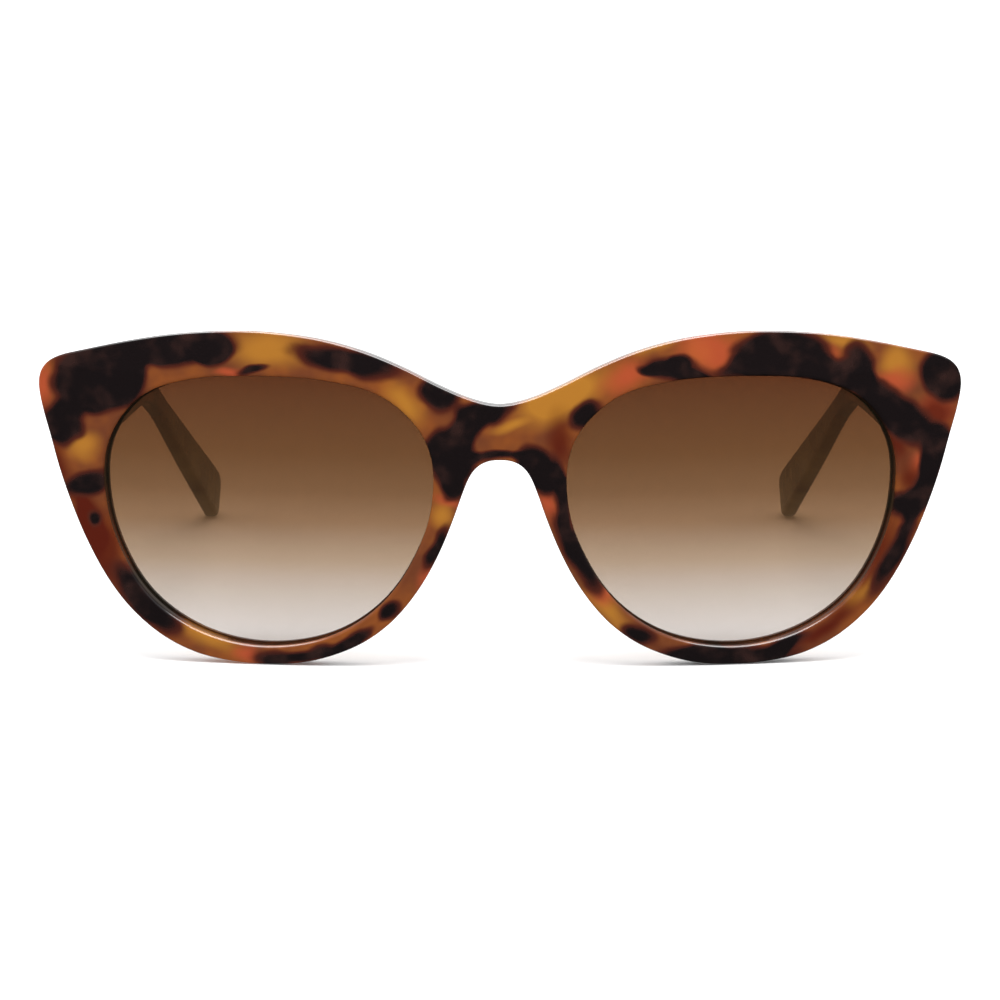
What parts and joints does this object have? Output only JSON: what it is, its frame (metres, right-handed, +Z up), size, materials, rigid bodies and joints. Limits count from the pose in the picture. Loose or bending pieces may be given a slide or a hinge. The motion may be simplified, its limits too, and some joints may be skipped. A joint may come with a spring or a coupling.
{
  "type": "cat eye sunglasses",
  "caption": "Cat eye sunglasses with a bent tortoiseshell acetate front, gradient brown lenses and tapered temples that fold on barrel hinges.",
  "frame": {"origin": "on the surface that the sunglasses stand on, under the middle of their outer box", "axes": "+Z up from the rim bottoms to the brow; the front faces -Y and the temples run towards +Y; +X is the wearer's left, so left parts have positive X"},
  "size_m": [0.142, 0.1499, 0.0516],
  "materials": {
    "tortoise_acetate": "polished tortoiseshell acetate, dark brown and amber",
    "tinted_lens": "brown gradient tint, dark at the brow and pale at the bottom",
    "hinge_steel": "fine satin steel",
    "nylon": "natural nylon"
  },
  "bodies": {
    "front": {"front_frame": "tortoise_acetate", "left_lens": "tinted_lens", "right_lens": "tinted_lens", "left_nose_pad": "tortoise_acetate", "right_nose_pad": "tortoise_acetate", "left_front_hinge": "hinge_steel", "right_front_hinge": "hinge_steel", "left_hinge_screw": "hinge_steel", "right_hinge_screw": "hinge_steel", "left_upper_washer": "nylon", "right_upper_washer": "nylon", "left_lower_washer": "nylon", "right_lower_washer": "nylon"},
    "left_arm": {"left_temple": "tortoise_acetate", "left_core_wire": "hinge_steel", "left_temple_hinge": "hinge_steel", "left_front_rivet": "hinge_steel", "left_rear_rivet": "hinge_steel"},
    "right_arm": {"right_temple": "tortoise_acetate", "right_core_wire": "hinge_steel", "right_temple_hinge": "hinge_steel", "right_front_rivet": "hinge_steel", "right_rear_rivet": "hinge_steel"}
  },
  "joints": [
    {"name": "left_temple_fold", "type": "hinge", "parent": "front", "child": "left_arm", "pos_m": [0.0609, -0.05956, 0.0406], "axis": [0, 0.0785, 0.9969], "range_deg": [0, 86]},
    {"name": "right_temple_fold", "type": "hinge", "parent": "front", "child": "right_arm", "pos_m": [-0.0609, -0.05956, 0.0406], "axis": [0, -0.0785, -0.9969], "range_deg": [0, 77]}
  ]
}
